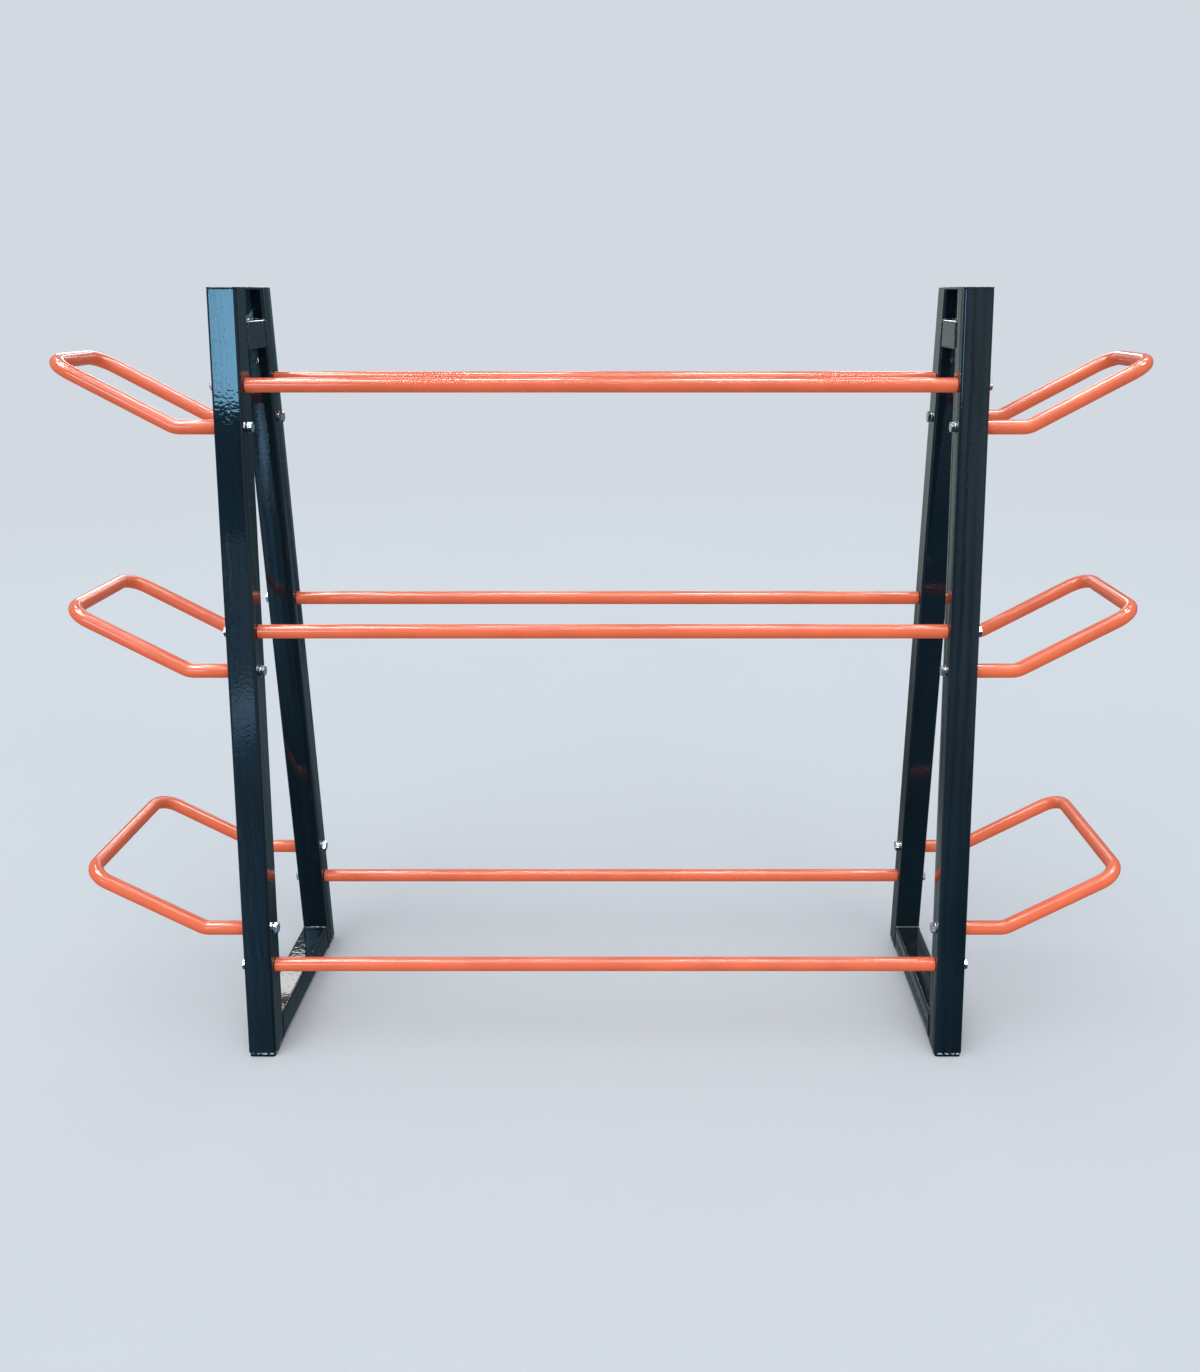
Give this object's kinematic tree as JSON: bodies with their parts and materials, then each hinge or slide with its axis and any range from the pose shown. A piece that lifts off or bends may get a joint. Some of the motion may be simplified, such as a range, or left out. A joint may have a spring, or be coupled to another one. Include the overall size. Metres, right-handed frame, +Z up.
{
  "type": "dumbbell rack",
  "caption": "Free-standing three-tier dumbbell rack: two A-shaped side frames of square tube joined by pairs of round bars, with bent storage loops on both sides.",
  "frame": {"origin": "on the floor, under the middle of the rack", "axes": "+X along the bars, +Y to the back, +Z up"},
  "size_m": [1.873, 0.4142, 1.365],
  "materials": {
    "frame_paint": "gloss",
    "orange_paint": "satin",
    "zinc": "satin"
  },
  "bodies": {
    "root": {"left_front_leg": "frame_paint", "left_rear_leg": "frame_paint", "left_front_foot_plate": "frame_paint", "left_rear_foot_plate": "frame_paint", "left_base_rail": "frame_paint", "left_upper_crossbar": "frame_paint", "left_top_plate": "frame_paint", "right_front_leg": "frame_paint", "right_rear_leg": "frame_paint", "right_front_foot_plate": "frame_paint", "right_rear_foot_plate": "frame_paint", "right_base_rail": "frame_paint", "right_upper_crossbar": "frame_paint", "right_top_plate": "frame_paint", "bottom_front_bar": "orange_paint", "bottom_rear_bar": "orange_paint", "middle_front_bar": "orange_paint", "middle_rear_bar": "orange_paint", "top_front_bar": "orange_paint", "top_rear_bar": "orange_paint", "left_bottom_loop": "orange_paint", "left_middle_loop": "orange_paint", "left_top_loop": "orange_paint", "right_bottom_loop": "orange_paint", "right_middle_loop": "orange_paint", "right_top_loop": "orange_paint", "left_bottom_front_bar_bolt": "zinc", "left_bottom_front_loop_bolt": "zinc", "left_bottom_rear_bar_bolt": "zinc", "left_bottom_rear_loop_bolt": "zinc", "left_middle_front_bar_bolt": "zinc", "left_middle_front_loop_bolt": "zinc", "left_middle_rear_bar_bolt": "zinc", "left_middle_rear_loop_bolt": "zinc", "left_top_front_bar_bolt": "zinc", "left_top_front_loop_bolt": "zinc", "left_top_rear_bar_bolt": "zinc", "left_top_rear_loop_bolt": "zinc", "right_bottom_front_bar_bolt": "zinc", "right_bottom_front_loop_bolt": "zinc", "right_bottom_rear_bar_bolt": "zinc", "right_bottom_rear_loop_bolt": "zinc", "right_middle_front_bar_bolt": "zinc", "right_middle_front_loop_bolt": "zinc", "right_middle_rear_bar_bolt": "zinc", "right_middle_rear_loop_bolt": "zinc", "right_top_front_bar_bolt": "zinc", "right_top_front_loop_bolt": "zinc", "right_top_rear_bar_bolt": "zinc", "right_top_rear_loop_bolt": "zinc"}
  },
  "joints": []
}
